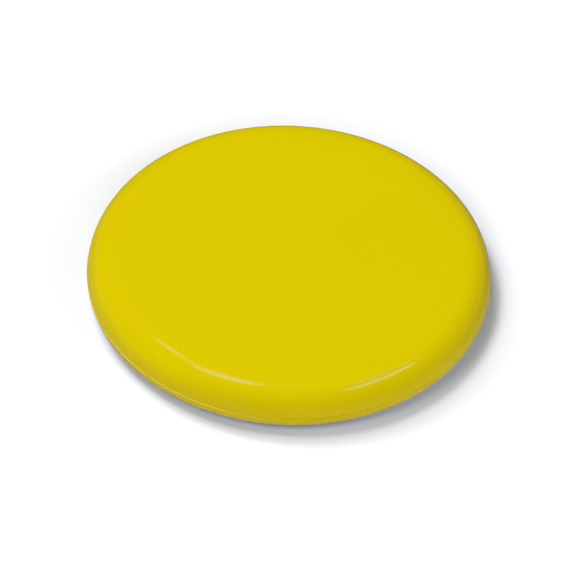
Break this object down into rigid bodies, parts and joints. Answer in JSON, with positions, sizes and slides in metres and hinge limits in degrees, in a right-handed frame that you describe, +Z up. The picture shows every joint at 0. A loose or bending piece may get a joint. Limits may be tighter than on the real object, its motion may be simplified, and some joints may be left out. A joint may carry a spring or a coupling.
{
  "type": "curling stone",
  "caption": "Low round handle-less curling stone for floors: domed two-part plastic body with a rim seam, inner ballast plate and captive rolling balls underneath.",
  "frame": {"origin": "on the running surface, under the centre of the stone", "axes": "+Z up through the flat top; one ball caster lies on +Y, with the other two 120 degrees to either side of it"},
  "size_m": [0.28, 0.28, 0.034],
  "materials": {
    "shell_plastic": "smooth glossy yellow injection-moulded plastic",
    "gasket_rubber": "soft grey silicone",
    "ballast_steel": "zinc-plated sheet steel, dull",
    "damping_foam": "closed-cell foam, dark grey",
    "caster_plastic": "black acetal, lightly textured",
    "retainer_plastic": "dark grey acetal, smooth",
    "ball_chrome": "polished bearing steel",
    "screw_zinc": "bright zinc-plated steel"
  },
  "bodies": {
    "root": {"top_shell": "shell_plastic", "base_shell": "shell_plastic", "seam_gasket": "gasket_rubber", "ballast_plate": "ballast_steel", "damping_pad": "damping_foam", "ballast_washer_1": "screw_zinc", "ballast_screw_1": "screw_zinc", "ballast_washer_2": "screw_zinc", "ballast_screw_2": "screw_zinc", "ballast_washer_3": "screw_zinc", "ballast_screw_3": "screw_zinc", "shell_screw_1": "screw_zinc", "shell_screw_2": "screw_zinc", "shell_screw_3": "screw_zinc", "shell_screw_4": "screw_zinc", "shell_screw_5": "screw_zinc", "shell_screw_6": "screw_zinc", "caster_housing_1": "caster_plastic", "caster_ring_1": "retainer_plastic", "caster_housing_2": "caster_plastic", "caster_ring_2": "retainer_plastic", "caster_housing_3": "caster_plastic", "caster_ring_3": "retainer_plastic", "caster_screw_1": "screw_zinc", "caster_screw_2": "screw_zinc", "caster_screw_3": "screw_zinc", "caster_screw_4": "screw_zinc", "caster_screw_5": "screw_zinc", "caster_screw_6": "screw_zinc"},
    "ball_1": {"caster_ball_1": "ball_chrome"},
    "ball_2": {"caster_ball_2": "ball_chrome"},
    "ball_3": {"caster_ball_3": "ball_chrome"}
  },
  "joints": [
    {"name": "ball_1_roll", "type": "hinge", "parent": "root", "child": "ball_1", "pos_m": [0, 0.075, 0.008], "axis": [-1, 0, 0], "continuous": true},
    {"name": "ball_2_roll", "type": "hinge", "parent": "root", "child": "ball_2", "pos_m": [-0.06495, -0.0375, 0.008], "axis": [0.5, -0.866, 0], "continuous": true},
    {"name": "ball_3_roll", "type": "hinge", "parent": "root", "child": "ball_3", "pos_m": [0.06495, -0.0375, 0.008], "axis": [0.5, 0.866, 0], "continuous": true}
  ]
}
